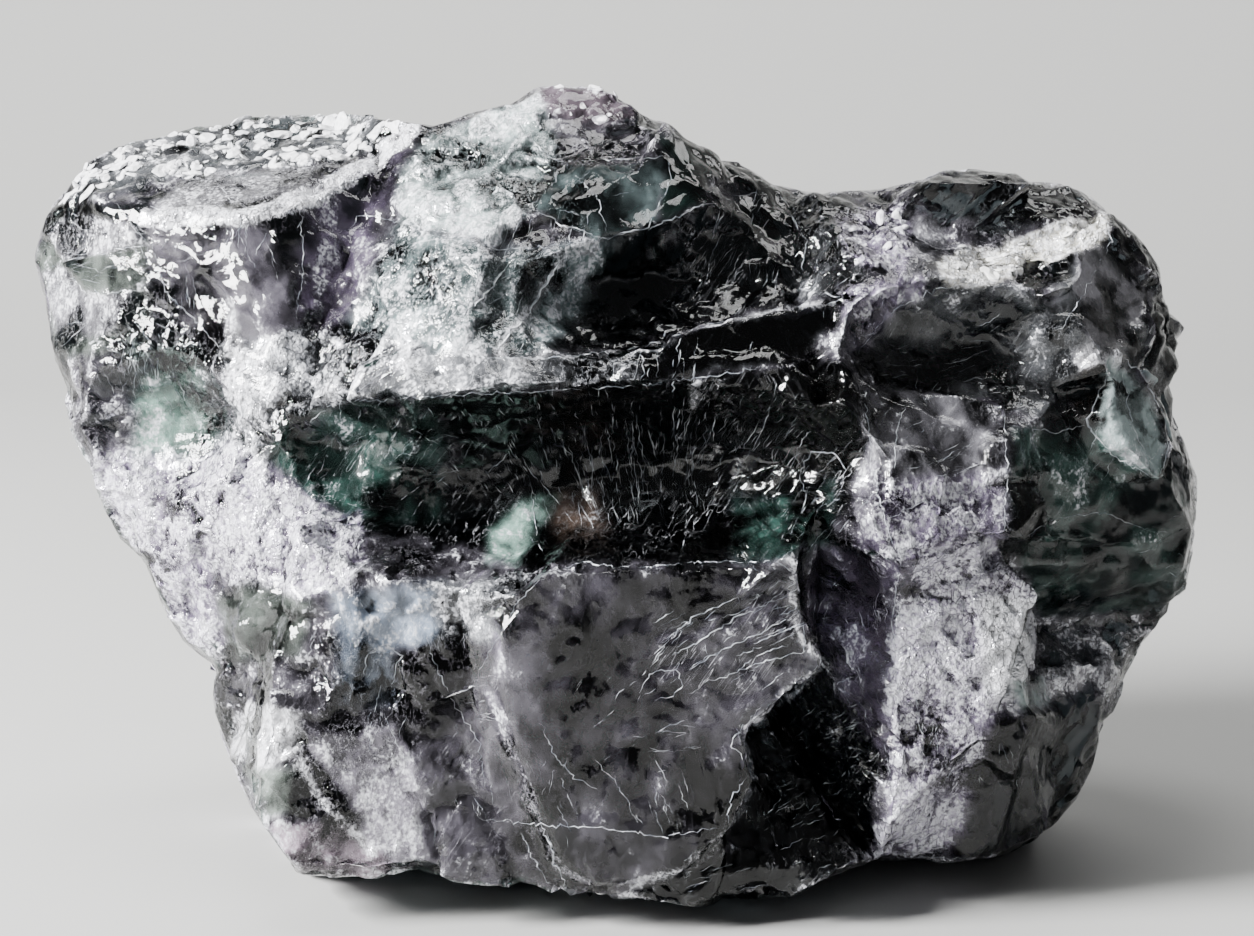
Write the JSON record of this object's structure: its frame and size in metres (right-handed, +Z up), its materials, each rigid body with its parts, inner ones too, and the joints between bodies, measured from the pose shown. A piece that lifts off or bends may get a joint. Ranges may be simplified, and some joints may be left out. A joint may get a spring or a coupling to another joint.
{
  "type": "fluorite crystal specimen",
  "caption": "Broken lump of massive purple and green fluorite with cleavage faces, bowl-shaped fractures and ledges, standing on a flat face.",
  "frame": {"origin": "on the surface that the stone stands on, under the middle of its box", "axes": "+Z up, +X to the right along the stone's longest side seen from the front, +Y away from the front"},
  "size_m": [0.1338, 0.0748, 0.0857],
  "materials": {
    "fluorite": "clear purple-grey and green stone, glassy on cleavage faces, white and crackled where it is fractured"
  },
  "bodies": {
    "root": {"fluorite_crystal": "fluorite"}
  },
  "joints": []
}
